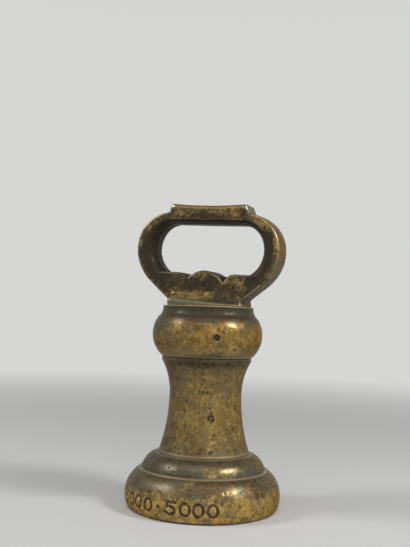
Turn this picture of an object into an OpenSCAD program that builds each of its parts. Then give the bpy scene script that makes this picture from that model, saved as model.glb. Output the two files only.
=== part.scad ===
// Bell weight with a fixed loop handle, built up from turned and cast pieces.
// Origin at the centre of the base's underside, +Z up, front of the handle towards -Y.

/* [Base drum] */
// Largest radius of the base
base_r = 53; // [50:0.5:58]
// Height of the base, up to the foot ring
base_h = 26.2; // [25:0.1:28]
// Radius of the rolled side of the base, seen in section
base_roll_r = 19.9; // [18.5:0.1:21]
// Height of the widest line of the base
base_belly_z = 9; // [8:0.1:10.5]
// Chamfer on the base's lower edge
base_chamfer = 1.1; // [0.5:0.1:1.6]
// Radius of the shallow dish under the base
dish_r = 41; // [36:0.5:44]
// Depth of the dish
dish_depth = 0.8; // [0.4:0.1:1.2]

/* [Foot ring] */
// Largest radius of the foot ring
ring_r = 41.9; // [40.5:0.1:43]
// Height of the foot ring
ring_h = 10.4; // [9.5:0.1:11]
// Radius of the ring's rounded side, seen in section
ring_round = 12.5; // [12:0.5:20]
// Depth of the dark quirk turned at the top and bottom of the stem pieces
quirk = 0.6; // [0.4:0.1:0.9]

/* [Column] */
// Radius of the column at its waist
waist_r = 24.8; // [23.6:0.1:26]
// Height of the waist above the foot of the column
waist_up = 39.4; // [36:0.2:42]
// Radius of the column at its foot
stem_foot_r = 31.2; // [30:0.1:31.4]
// Radius of the collar at the column's head
collar_r = 30.8; // [30:0.1:31]
// Height of the collar
collar_h = 3.5; // [2.5:0.1:4.5]
// Step from the column's curve out to the collar
collar_step = 0.4; // [0.2:0.1:0.8]
// Height of the column between the foot ring and the bulb
column_h = 64.9; // [62:0.1:68]
// Radius of the spigot that goes up into the bulb
head_spigot_r = 16; // [14:0.5:18]
// Length of that spigot
head_spigot_h = 8.3; // [7:0.1:10]
// Radius of the spigot that goes down through the foot ring into the base
foot_spigot_r = 18; // [16.5:0.5:20]
// Radius of the bore in the column for the lead
core_bore_r = 9; // [8.2:0.1:10]
// Height of that bore above the foot of the spigot
core_bore_h = 70; // [50:1:76]

/* [Bulb] */
// Largest radius of the bulb
bulb_r = 38; // [37:0.1:40]
// Radius of the bulb's round side, seen in section
bulb_roll_r = 20; // [19:0.1:22]
// Height of the widest line above the bulb's underside
bulb_belly_up = 15; // [14:0.1:16]
// Height above the underside at which the round side meets the hollow of the neck
bulb_crease_up = 26.8; // [25:0.1:28]
// Radius of the neck
neck_r = 31.3; // [30.5:0.1:32]
// Height above the underside at which the neck becomes straight
neck_up = 32.8; // [32:0.1:33.4]
// Height of the bulb and neck together
bulb_h = 34.3; // [33.8:0.1:37]

/* [Handle] */
// Length of the foot plate along X
plate_len = 53; // [48:0.5:55]
// Depth of the foot plate along Y
plate_depth = 26; // [23:0.5:29]
// Height of the foot plate's upright edge
plate_edge_h = 4; // [2.5:0.1:5]
// Height of the slope from the foot plate up to the web
plate_slope_h = 6; // [4:0.1:8]
// Depth of the loop along Y
strap_depth = 19; // [16:0.5:21]
// Thickness of the loop at its sides
strap_side_t = 11.8; // [10:0.1:13]
// Thickness of the loop at its top, under the grip
strap_top_t = 7; // [6:0.1:9]
// How much nearer the middle the opening's upper corners are rounded than the loop's
corner_in = 3; // [0:0.5:5]
// Rounding of the loop's long edges
strap_round = 2.6; // [1.5:0.1:3.5]
// Half the width of the loop
loop_half_w = 52.7; // [49:0.1:54]
// Height of the loop's widest line above its foot
loop_mid_up = 39.2; // [36:0.1:41]
// Radius of the loop's upper corners
loop_upper_r = 25.3; // [23:0.1:26]
// Radius of the loop's lower sides
loop_lower_r = 31.6; // [30:0.1:33]
// Angle below the horizontal at which the lower side runs straight to the foot
loop_foot_angle = 50.5; // [47:0.5:54]
// Sideways lean of the loop, as it was cast
loop_lean = 1.8; // [0:0.1:2.5]
// Radius of the spigot under the foot plate
spigot_r = 12; // [10.5:0.5:13.5]

/* [Grip and web] */
// Length of the grip bar at its foot
grip_len = 61; // [56:0.5:64]
// How far each end of the grip slopes in
grip_end_slope = 3.4; // [2.5:0.1:6]
// Height of the grip above the loop's top
grip_h = 6; // [5:0.1:8]
// Hollow worn into the top of the grip
grip_sag = 1.1; // [0:0.1:1.6]
// Rounding of the grip's long edges
grip_round = 3.2; // [2:0.1:4.5]
// Height of the opening's floor above the foot plate
floor_up = 22.7; // [20:0.1:23]
// Radius of the middle hump of the floor
hump_r = 17.6; // [15:0.1:19]
// Half the distance between the two notches of the floor
notch_half = 12.7; // [11:0.1:14]
// Depth of the notches below the hump's top
notch_depth = 5.4; // [4.5:0.1:6.5]
// Radius of the small lobe outside each notch
lobe_r = 9; // [8:0.1:10]

/* [Pins and plugs] */
// Radius of the lock pin's hole in the bulb and the spigot
pin_hole_r = 1.6; // [1.2:0.1:2]
// Angle of the lock pin and the seal round the axis, from the front towards +X
pin_angle = 30; // [20:1:40]
// Height of the lock pin above the bulb's underside
pin_up = 13.8; // [12.5:0.1:15]
// Depth of the lock pin's hole in the handle's spigot
pin_bite = 6; // [4:0.5:8]
// How far the lock pin's end lies below the bulb's surface
pin_sink = 1.6; // [0.8:0.1:2.4]
// Radius of the hole for the seal in the column
seal_hole_r = 1.9; // [1.5:0.1:2.3]
// Height of the seal above the foot of the column
seal_up = 25; // [18:0.5:26]
// Length of the seal
seal_len = 5; // [3:0.5:6]

/* [Adjusting plug] */
// Radius of the adjusting plug's thread
plug_bore_r = 12.5; // [11.5:0.1:13.5]
// Thickness of the adjusting plug, which is also the length of its thread
plug_t = 6; // [5:0.1:6.4]
// Radius of the recess under the plug
recess_r = 14.5; // [14:0.1:16]
// Depth of the recess, from the floor to the thread
recess_depth = 7.6; // [7:0.1:8.2]
// Radius of the two blind holes for a pin spanner
spanner_hole_r = 1.5; // [1:0.1:2]
// Distance of those holes from the axis
spanner_offset = 7.5; // [6:0.1:9]
// Depth of those holes
spanner_depth = 3; // [2:0.1:3.8]
// Thickness of the leather sealing disc
disc_t = 0.9; // [0.6:0.1:1.2]
// Radius of one piece of adjusting shot
shot_r = 1.7; // [1.4:0.05:1.8]
// Height of the space for the shot, above the sealing disc
shot_space = 4.2; // [3.9:0.1:5]

/* [Fits] */
// Clearance on the radius of a spigot, a core or a plug in its bore
fit = 0.05; // [0.03:0.01:0.1]
// Gap at the end of a spigot or a core
end_gap = 0.2; // [0.1:0.05:0.3]

/* [Hidden] */

// Heights of the seats, from the floor up
ring_z = base_h;
stem_z = ring_z + ring_h;
bulb_z = stem_z + column_h;
plate_z = bulb_z + bulb_h;
collar_z = bulb_z - collar_h;
waist_z = stem_z + waist_up;
web_z = plate_z + plate_edge_h;
loop_mid_z = plate_z + loop_mid_up;
loop_top_z = loop_mid_z + loop_upper_r;
floor_z = plate_z + floor_up;
plug_z = recess_depth;
disc_z = plug_z + plug_t;
spigot_foot_z = disc_z + disc_t;
core_z = spigot_foot_z + shot_space;
head_bore_z = bulb_z + head_spigot_h + end_gap;

// Cuts run past the faces that they open
over = 1;

brass = "#8a6d3b";
dark_brass = "#5f4d33";
rubbed_brass = "#a07c3c";
lead = "#6f7276";
leather = "#5a3b24";

// Radius of the arc that rises by dr over a length dz, tangent at one end
function arc_radius(dz, dr) = (dz * dz + dr * dr) / (2 * dr);

// A turned solid from a half section drawn with x as the radius
module turned() {
    rotate_extrude($fn = 128)
        children();
}

// A plain round bar or bore between two heights
module bar(r, z0, z1) {
    translate([0, 0, z0])
        cylinder(r = r, h = z1 - z0, $fn = 96);
}

// A round bar that points outwards at the pins' angle, between two radii
module radial_bar(r, from, to, z) {
    rotate([0, 0, pin_angle - 90])
        translate([from, 0, z])
            rotate([0, 90, 0])
                cylinder(r = r, h = to - from, $fn = 48);
}

// A block between two lines of x and two of z, for sections
module span(x0, x1, z0, z1) {
    translate([x0, z0])
        square([x1 - x0, z1 - z0]);
}

// Base: a rolled rim on a disc, with the seat of the column's spigot, the plug's bore and its recess
module base_section() {
    roll_x = base_r - base_roll_r;
    intersection() {
        union() {
            translate([roll_x, base_belly_z])
                circle(r = base_roll_r, $fn = 128);
            span(0, roll_x, 0, base_h);
        }
        span(0, base_r + over, 0, base_h);
    }
}

module base_edge_cut() {
    edge_r = base_r - base_roll_r + sqrt(pow(base_roll_r, 2) - pow(base_belly_z, 2));
    polygon([[edge_r - base_chamfer, -over], [edge_r + over * 2, -over],
             [edge_r + over * 2, base_chamfer + over], [edge_r - base_chamfer - 0.01, -0.01]]);
}

module base_drum() {
    color(rubbed_brass)
        difference() {
            turned()
                difference() {
                    base_section();
                    base_edge_cut();
                }
            bar(dish_r, -over, dish_depth);
            bar(recess_r, -over, recess_depth);
            bar(plug_bore_r, recess_depth - over, spigot_foot_z + over);
            bar(foot_spigot_r + fit, spigot_foot_z, base_h + over);
        }
}

// Foot ring: a rounded side from the ring's foot up to the column's foot, bored for the column's spigot
module foot_ring() {
    chord = [stem_foot_r - ring_r, ring_h];
    half_chord = norm(chord) / 2;
    to_centre = sqrt(pow(ring_round, 2) - pow(half_chord, 2));
    inward = [-chord[1], chord[0]] / norm(chord);
    centre = [ring_r, ring_z] + chord / 2 + to_centre * inward;
    color(dark_brass)
        difference() {
            turned()
                intersection() {
                    translate(centre)
                        circle(r = ring_round, $fn = 128);
                    span(0, ring_r + over, ring_z, stem_z);
                }
            bar(foot_spigot_r + fit, ring_z - over, stem_z + over);
        }
}

// Column: waisted between two arcs, with a collar, a quirk at each end and two spigots
module column_section() {
    low_arc = arc_radius(waist_up, stem_foot_r - waist_r);
    top_arc = arc_radius(collar_z - waist_z, collar_r - collar_step - waist_r);
    difference() {
        span(0, stem_foot_r + over / 2, stem_z, bulb_z);
        intersection() {
            translate([waist_r + low_arc, waist_z])
                circle(r = low_arc, $fn = 256);
            span(0, stem_foot_r + over, stem_z - over, waist_z);
        }
        intersection() {
            translate([waist_r + top_arc, waist_z])
                circle(r = top_arc, $fn = 256);
            span(0, stem_foot_r + over, waist_z, collar_z);
        }
        span(collar_r, stem_foot_r + over, collar_z, bulb_z + over);
        span(stem_foot_r - quirk, stem_foot_r + over, stem_z - over, stem_z + quirk);
        span(collar_r - quirk, stem_foot_r + over, bulb_z - quirk, bulb_z + over);
    }
}

module column() {
    color(brass)
        difference() {
            union() {
                turned()
                    column_section();
                bar(head_spigot_r, bulb_z - over, bulb_z + head_spigot_h);
                bar(foot_spigot_r, spigot_foot_z, stem_z + over);
            }
            bar(core_bore_r, spigot_foot_z - over, spigot_foot_z + core_bore_h);
            radial_bar(seal_hole_r, seal_r - seal_len, stem_foot_r + over, stem_z + seal_up);
        }
}

// Bulb: a round belly under a hollow neck, bored through for the two spigots
module bulb_section() {
    crease_z = bulb_z + bulb_crease_up;
    neck_z = bulb_z + neck_up;
    belly_x = bulb_r - bulb_roll_r;
    crease_r = belly_x + sqrt(pow(bulb_roll_r, 2) - pow(bulb_crease_up - bulb_belly_up, 2));
    hollow_r = arc_radius(neck_z - crease_z, crease_r - neck_r);
    intersection() {
        union() {
            translate([belly_x, bulb_z + bulb_belly_up])
                circle(r = bulb_roll_r, $fn = 128);
            span(0, belly_x, bulb_z, crease_z);
        }
        span(0, bulb_r + over, bulb_z, crease_z);
    }
    difference() {
        span(0, crease_r, crease_z, neck_z);
        translate([neck_r + hollow_r, neck_z])
            circle(r = hollow_r, $fn = 96);
    }
    span(0, neck_r, neck_z, plate_z);
}

module bulb() {
    color(rubbed_brass)
        difference() {
            turned()
                bulb_section();
            bar(head_spigot_r + fit, bulb_z - over, head_bore_z);
            bar(spigot_r + fit, head_bore_z - over, plate_z + over);
            radial_bar(pin_hole_r, spigot_r - over, bulb_r + over, bulb_z + pin_up);
        }
}

// Outer line of the loop's right side: straight from the foot, then two arcs, then level to the middle
lower_x = loop_half_w - loop_lower_r;
upper_x = loop_half_w - loop_upper_r;
side_steps = 8;
corner_steps = 9;
top_steps = 3;

function on_arc(x, z, rx, rz, angle) = [x + rx * cos(angle), z + rz * sin(angle)];

lower_end = on_arc(lower_x, loop_mid_z, loop_lower_r, loop_lower_r, -loop_foot_angle);
foot_run = (lower_end[1] - web_z) / cos(loop_foot_angle);
foot_dir = [sin(loop_foot_angle), cos(loop_foot_angle)];
across = [-cos(loop_foot_angle), sin(loop_foot_angle)];
foot_outer = lower_end - foot_run * foot_dir;

outer_half = concat(
    [foot_outer],
    [for (i = [0:side_steps]) on_arc(lower_x, loop_mid_z, loop_lower_r, loop_lower_r,
                                     -loop_foot_angle * (1 - i / side_steps))],
    [for (i = [1:corner_steps]) on_arc(upper_x, loop_mid_z, loop_upper_r, loop_upper_r,
                                       90 * i / corner_steps)],
    [for (i = [1:top_steps]) [upper_x * (1 - i / top_steps), loop_top_z]]);

// Inner line, point for point with the outer one
inner_lower_r = loop_lower_r - strap_side_t;
inner_upper_x = upper_x - corner_in;
inner_upper_rx = loop_half_w - strap_side_t - inner_upper_x;
inner_upper_rz = loop_upper_r - strap_top_t;
inner_half = concat(
    [foot_outer + strap_side_t * across],
    [for (i = [0:side_steps]) on_arc(lower_x, loop_mid_z, inner_lower_r, inner_lower_r,
                                     -loop_foot_angle * (1 - i / side_steps))],
    [for (i = [1:corner_steps]) on_arc(inner_upper_x, loop_mid_z, inner_upper_rx, inner_upper_rz,
                                       90 * i / corner_steps)],
    [for (i = [1:top_steps]) [inner_upper_x * (1 - i / top_steps), loop_top_z - strap_top_t]]);

// The left side mirrors the right one, without the shared middle point
half_count = len(outer_half);
function mirrored(line) = concat(
    line,
    [for (i = [len(line) - 2:-1:0]) [-line[i][0], line[i][1]]]);
outer_line = mirrored(outer_half);
inner_line = mirrored(inner_half);
stations = len(outer_line);

// Section of the strap: a rectangle with rounded corners, u across the strap and v along Y
corner_points = 4;
section_points = 4 * corner_points;
function corner_uv(k, half_t, half_d) =
    let (quadrant = floor(k / corner_points),
         turn = 90 * quadrant + 90 * (k % corner_points) / (corner_points - 1),
         su = (quadrant == 0 || quadrant == 3) ? 1 : -1,
         sv = (quadrant < 2) ? 1 : -1)
    [su * (half_t - strap_round) + strap_round * cos(turn),
     sv * (half_d - strap_round) + strap_round * sin(turn)];

function station_ring(i) =
    let (middle = (outer_line[i] + inner_line[i]) / 2,
         reach = outer_line[i] - inner_line[i],
         half_t = norm(reach) / 2,
         dir = reach / norm(reach))
    [for (k = [0:section_points - 1])
        let (uv = corner_uv(k, half_t, strap_depth / 2))
        [middle[0] + dir[0] * uv[0], uv[1], middle[1] + dir[1] * uv[0]]];

module strap() {
    points = [for (i = [0:stations - 1]) each station_ring(i)];
    sides = [for (i = [0:stations - 2], k = [0:section_points - 1])
        let (a = i * section_points + k,
             b = i * section_points + (k + 1) % section_points)
        each [[a, b + section_points, b], [a, a + section_points, b + section_points]]];
    start = [for (k = [0:section_points - 1]) k];
    end = [for (k = [section_points - 1:-1:0]) (stations - 1) * section_points + k];
    polyhedron(points = points, faces = concat([start], sides, [end]));
}

// Points along an arc, from one angle to another
function arc_points(x, z, r, from, to, steps) =
    [for (i = [0:steps]) on_arc(x, z, r, r, from + (to - from) * i / steps)];

// Floor of the opening: a plate between the arms with a hump, two notches and two lobes
hump_top = floor_z + 1;
notch_z = hump_top - notch_depth;
hump_half_angle = asin(notch_half / hump_r);
notch_at_z = hump_top - hump_r * (1 - cos(hump_half_angle));
lobe_angle = asin((notch_at_z - floor_z + lobe_r) / lobe_r);
lobe_x = notch_half + lobe_r * cos(lobe_angle);
floor_end_x = lower_x + inner_lower_r * cos(asin((loop_mid_z - floor_z) / inner_lower_r)) + 3;

module floor_line() {
    foot_x = plate_len / 2 - 1;
    polygon(concat(
        [[-foot_x, web_z - over], [foot_x, web_z - over], [floor_end_x, notch_z], [floor_end_x, floor_z]],
        arc_points(lobe_x, floor_z - lobe_r, lobe_r, 90, 180 - lobe_angle, 5),
        arc_points(0, hump_top - hump_r, hump_r, 90 - hump_half_angle + 2, 90 + hump_half_angle - 2, 14),
        arc_points(-lobe_x, floor_z - lobe_r, lobe_r, lobe_angle, 90, 5),
        [[-floor_end_x, floor_z], [-floor_end_x, notch_z]]));
}

web_inset = 0.2;
module web() {
    rotate([90, 0, 0])
        linear_extrude(height = strap_depth - 2 * web_inset, center = true)
            floor_line();
}

// Foot plate: upright edge, then a slope on all four sides up to the web
module plate() {
    top_z = web_z + plate_slope_h;
    end_in = 3;
    intersection() {
        rotate([90, 0, 0])
            linear_extrude(height = plate_depth + over, center = true)
                polygon([[-plate_len / 2, plate_z], [plate_len / 2, plate_z], [plate_len / 2, web_z],
                         [plate_len / 2 - end_in, top_z], [-plate_len / 2 + end_in, top_z],
                         [-plate_len / 2, web_z]]);
        rotate([90, 0, 90])
            linear_extrude(height = plate_len + over, center = true)
                polygon([[-plate_depth / 2, plate_z], [plate_depth / 2, plate_z], [plate_depth / 2, web_z],
                         [strap_depth / 2 - web_inset * 2, top_z], [-strap_depth / 2 + web_inset * 2, top_z],
                         [-plate_depth / 2, web_z]]);
    }
}

// Grip: a bar on top of the loop with sloped ends, a rounded section and a worn hollow on top
grip_root = 4;
module grip() {
    top_z = loop_top_z + grip_h;
    top_half = grip_len / 2 - grip_end_slope;
    sag_r = arc_radius(top_half, grip_sag);
    sag_half = asin(top_half / sag_r);
    intersection() {
        rotate([90, 0, 0])
            linear_extrude(height = strap_depth + over, center = true)
                polygon(concat(
                    [[-grip_len / 2, loop_top_z], [-grip_len / 2, loop_top_z - grip_root],
                     [grip_len / 2, loop_top_z - grip_root], [grip_len / 2, loop_top_z]],
                    arc_points(0, top_z - grip_sag + sag_r, sag_r, sag_half - 90, -sag_half - 90, 12)));
        rotate([90, 0, 90])
            linear_extrude(height = grip_len + over, center = true)
                grip_section(strap_depth / 2 + web_inset, top_z);
    }
}

module grip_section(half_d, top_z) {
    low_z = loop_top_z - grip_root - over;
    corner_x = half_d - grip_round;
    corner_z = top_z - grip_round;
    polygon(concat(
        [[-half_d, low_z], [half_d, low_z]],
        arc_points(corner_x, corner_z, grip_round, 0, 90, 6),
        arc_points(-corner_x, corner_z, grip_round, 90, 180, 6)));
}

module handle() {
    color(brass)
        difference() {
            union() {
                translate([0, 0, loop_mid_z])
                    rotate([0, loop_lean, 0])
                        translate([0, 0, -loop_mid_z]) {
                            strap();
                            web();
                            grip();
                        }
                plate();
                bar(spigot_r, head_bore_z + end_gap, plate_z + over);
            }
            radial_bar(pin_hole_r, spigot_r - pin_bite, spigot_r + over, bulb_z + pin_up);
        }
}

// Lock pin, driven in from the front and sunk a little below the bulb's surface
module lock_pin() {
    color(dark_brass)
        radial_bar(pin_hole_r - fit, spigot_r - pin_bite + end_gap, bulb_r - pin_sink, bulb_z + pin_up);
}

// Seal: a soft plug set flush with the column's side
low_arc_r = arc_radius(waist_up, stem_foot_r - waist_r);
seal_r = waist_r + low_arc_r - sqrt(pow(low_arc_r, 2) - pow(waist_up - seal_up, 2));
module seal_plug() {
    color(lead)
        radial_bar(seal_hole_r - fit, seal_r - seal_len + end_gap, seal_r, stem_z + seal_up);
}

module lead_core() {
    color(lead)
        bar(core_bore_r - fit, core_z, spigot_foot_z + core_bore_h - end_gap);
}

// One layer of shot on the sealing disc: one in the middle and two rings round it
module adjusting_shot() {
    pitch = 2 * (shot_r + fit);
    rings = 2;
    color(lead)
        translate([0, 0, spigot_foot_z + shot_r + fit]) {
            sphere(r = shot_r, $fn = 32);
            for (ring = [1:rings], i = [0:6 * ring - 1])
                rotate([0, 0, 60 * i / ring])
                    translate([ring * pitch, 0, 0])
                        sphere(r = shot_r, $fn = 32);
        }
}

module sealing_disc() {
    color(leather)
        bar(plug_bore_r - fit, disc_z + fit / 2, spigot_foot_z - fit / 2);
}

// Adjusting plug: screwed disc with two blind holes for a pin spanner
module adjusting_plug() {
    color(rubbed_brass)
        difference() {
            bar(plug_bore_r - fit, plug_z, disc_z);
            for (side = [-1, 1])
                translate([side * spanner_offset, 0, 0])
                    bar(spanner_hole_r, plug_z - over, plug_z + spanner_depth);
        }
}

base_drum();
foot_ring();
column();
bulb();
handle();
lock_pin();
seal_plug();
lead_core();
adjusting_shot();
sealing_disc();
adjusting_plug();
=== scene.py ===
"""Dresses an old brass bell weight: turned pieces, a cast loop handle, their wear and patina."""

import random
from math import asin, atan2, cos, degrees, exp, hypot, pi, radians, sin, sqrt

import bmesh
import bpy
import numpy as np
from mathutils import Matrix, Vector, noise
from mathutils.kdtree import KDTree


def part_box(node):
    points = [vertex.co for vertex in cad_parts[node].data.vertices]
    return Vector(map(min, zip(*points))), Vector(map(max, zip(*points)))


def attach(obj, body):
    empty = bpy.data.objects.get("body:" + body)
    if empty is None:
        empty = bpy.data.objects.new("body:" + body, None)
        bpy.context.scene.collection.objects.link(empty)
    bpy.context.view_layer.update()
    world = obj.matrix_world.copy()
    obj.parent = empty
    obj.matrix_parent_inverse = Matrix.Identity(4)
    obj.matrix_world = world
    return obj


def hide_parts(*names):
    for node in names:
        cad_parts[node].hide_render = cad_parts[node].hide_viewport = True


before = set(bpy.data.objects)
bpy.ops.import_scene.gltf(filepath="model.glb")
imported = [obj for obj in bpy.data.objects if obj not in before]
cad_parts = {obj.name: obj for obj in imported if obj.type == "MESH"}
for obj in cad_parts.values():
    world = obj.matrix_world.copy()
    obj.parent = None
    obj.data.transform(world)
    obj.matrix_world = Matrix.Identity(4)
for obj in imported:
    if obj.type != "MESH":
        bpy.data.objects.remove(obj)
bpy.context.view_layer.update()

MM = 0.001
COARSE = 1

# From the frame, in millimetres
bulb_low, bulb_high = (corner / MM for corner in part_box("bulb"))
plug_low, plug_high = (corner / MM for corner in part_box("adjusting_plug"))
pin_low, pin_high = (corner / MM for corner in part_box("lock_pin"))
seal_low, seal_high = (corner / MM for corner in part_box("seal_plug"))

BASE_R, _, BASE_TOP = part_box("base_drum")[1] / MM
RING_R, _, RING_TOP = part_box("foot_ring")[1] / MM
BULB_R, _, BULB_TOP = bulb_high
BULB_FOOT = bulb_low.z
PLUG_R, _, PLUG_TOP = plug_high
PLUG_FOOT = plug_low.z
SPIGOT_FOOT = (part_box("sealing_disc")[1] / MM).z
PIN_Z = (pin_low.z + pin_high.z) / 2
SEAL_Z = (seal_low.z + seal_high.z) / 2
PIN_ANGLE = atan2(pin_low.y, pin_high.x)

# Turned profiles, in millimetres
BASE_ROLL = 19.9
BASE_BELLY_Z = 9
BASE_EDGE = 1.1
DISH_R = 41
DISH_DEPTH = 0.8
RECESS_R = 14.5
RECESS_EDGE = 0.4
RING_ROUND = 12.5
STEM_FOOT_R = 31.2
WAIST_R = 24.8
WAIST_Z = RING_TOP + 39.4
COLLAR_R = 30.8
COLLAR_STEP = 0.4
COLLAR_Z = BULB_FOOT - 3.5
QUIRK = 0.6
BULB_ROLL = 20
BULB_BELLY_Z = BULB_FOOT + 15
BULB_CREASE_Z = BULB_FOOT + 26.8
NECK_R = 31.3
NECK_Z = BULB_FOOT + 32.8
NECK_EDGE = 0.4
PIN_R = 1.6
SEAL_R = 1.9

# Bores and spigots, in millimetres
PLUG_BORE_R = 12.5
FOOT_BORE_R = 18.05
FOOT_SPIGOT_R = 18
CORE_BORE_R = 9.05
HEAD_SPIGOT_R = 16
HEAD_SPIGOT_RISE = 8.3
HEAD_BORE_R = 16.05
HEAD_BORE_RISE = 8.5
HANDLE_SPIGOT_R = 12
HANDLE_BORE_R = 12.05

# Adjusting plug, in millimetres
PLUG_CHAMFER = 0.8
THREAD_PITCH = 2
THREAD_DEPTH = 0.35
SPANNER_HOLE_R = 1.5
SPANNER_HOLE_X = 7.5
SPANNER_HOLE_DEPTH = 3

# Handle, in millimetres and degrees
PLATE_Z = BULB_TOP
PLATE_EDGE = 4
WEB_Z = PLATE_Z + PLATE_EDGE
PLATE_SLOPE = 6
PLATE_CORNER = 1.6
PLATE_CORNER_RIGHT = 6
PLATE_REACH_RIGHT = 2.4
PLATE_EDGE_LEFT = WEB_Z + 0.6
PLATE_EDGE_RIGHT = PLATE_Z + 1.2
PLATE_LENGTH = 53
PLATE_DEPTH = 26
LOOP_Z = PLATE_Z + 39.2
LOOP_HALF_W = 52.7
LOOP_LOWER_R = 31.6
LOOP_UPPER_R = 25.3
LOOP_FOOT_ANGLE = 50.5
LOOP_TOP = LOOP_Z + LOOP_UPPER_R
LOOP_LEAN = 1.8
STRAP_SIDE = 11.8
STRAP_TOP = 7
STRAP_DEPTH = 19
STRAP_ROUND = 1.5
STRAP_FOOT_ROUND = 2.6
STRAP_FRONT_ROUND = 4.8
STRAP_CROWN = 0.4
INNER_BAND = 1
FLOOR_Z = PLATE_Z + 22.7
HUMP_TOP = FLOOR_Z + 1.8
HUMP_R = 16.5
LEFT_NOTCH, RIGHT_NOTCH = 12.4, 13.9
LOBE_R = 9
GRIP_LENGTH = 61
GRIP_HEIGHT = 6
GRIP_SAG = 1.1
GRIP_ROUND = 2.4
GRIP_ROOT = 5.4
GRIP_SLANT = 3
GRIP_END_ROUND = 6.5
GRIP_END_NARROWING = 3.6
SKIN_VOXEL = 0.6

# Corners of a section: the signs of its two axes, and the angle where the rounding starts
CORNERS = ((1, 1, 0), (-1, 1, 90), (-1, -1, 180), (1, -1, 270))

# Punched numbers, in millimetres, their pitch and the last one's azimuth in degrees
NUMERALS = "5000.5000"
NUMERAL_HEIGHT = 7.4
NUMERAL_WIDTH = 6.2
NUMERAL_PITCH = 9.8
NUMERAL_LAST = -60
NUMERAL_Z = 9.2
STROKE_HALF_W = 0.74
STROKE_EDGE = 0.42
PELLET_R = 1.1
PUNCH_DEPTH = 0.5

# Middle of the painted shade on the weight's left side, and the place of the ring's painted highlight
SHADED_SIDE_ANGLE = -142
RING_HIGHLIGHT_ANGLE = -53
RING_HIGHLIGHT_Z = BASE_TOP + 3

# Stains that show: azimuth in degrees, height, radius and strength
STEM_MARKS = (
    (-71.9, 79.3, 1.5, 1), (-65.6, 78.7, 1.6, 0.9), (-22.4, 55, 2, 1), (-97, 56.5, 1.5, 0.8),
    (-89, 56.8, 1.5, 0.7), (-54.3, 51.2, 2, 0.7), (-104.9, 97.2, 1.6, 1), (-68.7, 97.8, 2.2, 0.8),
    (-60, 98, 2, 0.7), (-40.8, 98, 1.7, 1), (-31, 96, 1.4, 0.9), (-75.1, 84.5, 1.2, 1),
    (-51.5, 85.4, 1.3, 0.9), (-37.5, 86.8, 1.4, 0.9), (-109.4, 86.8, 1.3, 0.9), (-30.8, 75.4, 1.6, 0.9),
    (-115.3, 73.9, 1.4, 0.8), (-76.7, 65.5, 1, 0.8), (150, 80, 2, 0.9), (80, 58, 1.9, 0.9),
    (20, 88, 1.6, 0.9), (-160, 62, 2.1, 0.8), (115, 92, 1.7, 0.8))
BELLY_MARKS = (
    (-37.5, 107.7, 1.3, 1), (-78.7, 121.8, 2.2, 0.7), (-52, 106, 1, 0.8), (-70, 105, 1.1, 0.7),
    (60, 112, 1.8, 0.8), (170, 108, 1.6, 0.8))
BASE_MARKS = (
    (-25.8, 15.7, 2.6, 0.9), (-20.2, 16.2, 2.2, 0.7), (-41.2, 11.5, 1.6, 0.8), (-31.3, 8.5, 1.5, 0.7),
    (-48.6, 12, 1.4, 0.6), (-108.9, 17.5, 1.8, 0.6), (-30, 4.5, 1.8, 0.6), (40, 10, 2.4, 0.8),
    (130, 14, 2.6, 0.8), (-170, 8, 2.2, 0.7))
STAIN_R = 2.2

# Places where the handle is bright, rubbed by hands and cloth, with painted highlights on the grip's top
# edge and the right arm's ridge: x, z, their half widths and how bright
RUBBED_AND_HIGHLIGHT_PLACES = (
    (-5, 205, 30, 1.8, 0.8), (-18, 201, 7, 3, 0.65), (8, 202, 8, 3, 0.8), (20, 201, 6, 4, 0.85),
    (38, 192, 8, 9, 0.9), (51, 180, 3.6, 12, 1), (17, 154, 6, 4, 0.75), (-2, 158, 6, 3, 0.5),
    (27, 152, 5, 5, 0.5), (-12, 143, 17, 3, 0.85), (-51, 184, 3, 10, 0.6), (-45, 194, 5, 5, 0.5),
    (44, 158, 5, 4, 0.4))


def mm(*values):
    """Millimetres to metres."""
    return Vector(values) * MM


def smooth_step(value, low, high):
    """0 below low, 1 above high, smooth between."""
    share = max(0.0, min(1.0, (value - low) / (high - low)))
    return share * share * (3 - 2 * share)


def hill(value, middle, width):
    """1 at the middle, falling away smoothly to both sides."""
    return exp(-((value - middle) / width) ** 2)


def height_of(vert):
    """Height of a vertex, in millimetres."""
    return vert.co.z / MM


def radius_of(vert):
    """Distance of a vertex from the axis, in millimetres."""
    return hypot(vert.co.x, vert.co.y) / MM


def azimuth_of(vert):
    """Azimuth of a vertex, in degrees from +X."""
    return degrees(atan2(vert.co.y, vert.co.x))


def azimuth_off(vert, azimuth):
    """How far round a vertex lies from an azimuth, -180 to 180 degrees."""
    return (azimuth_of(vert) - azimuth + 180) % 360 - 180


def shaded_side(vert):
    """Painted shade on the weight's left side, as the camera sees it, 0 to 1."""
    return hill(azimuth_off(vert, SHADED_SIDE_ANGLE), 0, 34)


def arc(r, z, radius, start, end, steps):
    """Points along an arc about (r, z), between two angles in degrees."""
    angles = [radians(start + (end - start) * i / steps) for i in range(steps + 1)]
    return [(r + radius * cos(a), z + radius * sin(a)) for a in angles]


def line(start, end, steps):
    """Points along a straight stretch, without its first one."""
    return [(start[0] + (end[0] - start[0]) * i / steps, start[1] + (end[1] - start[1]) * i / steps)
            for i in range(1, steps + 1)]


def mesh_of(name, bm):
    """Makes a bmesh a mesh."""
    mesh = bpy.data.meshes.new(name)
    bm.to_mesh(mesh)
    bm.free()
    return mesh


def add_object(name, data):
    """Adds a mesh, a lamp or a camera to the scene."""
    made = bpy.data.objects.new(name, data)
    bpy.context.scene.collection.objects.link(made)
    return made


def new_piece(name, bm, body, smooth_angle=40):
    """Makes a bmesh a piece that rides on a body, smooth except at sharp edges."""
    for face in bm.faces:
        face.smooth = True
    sharp = radians(smooth_angle)
    for edge in bm.edges:
        edge.smooth = len(edge.link_faces) == 2 and edge.calc_face_angle(0) < sharp
    piece = add_object(name, mesh_of(name, bm))
    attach(piece, body)
    return piece


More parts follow.
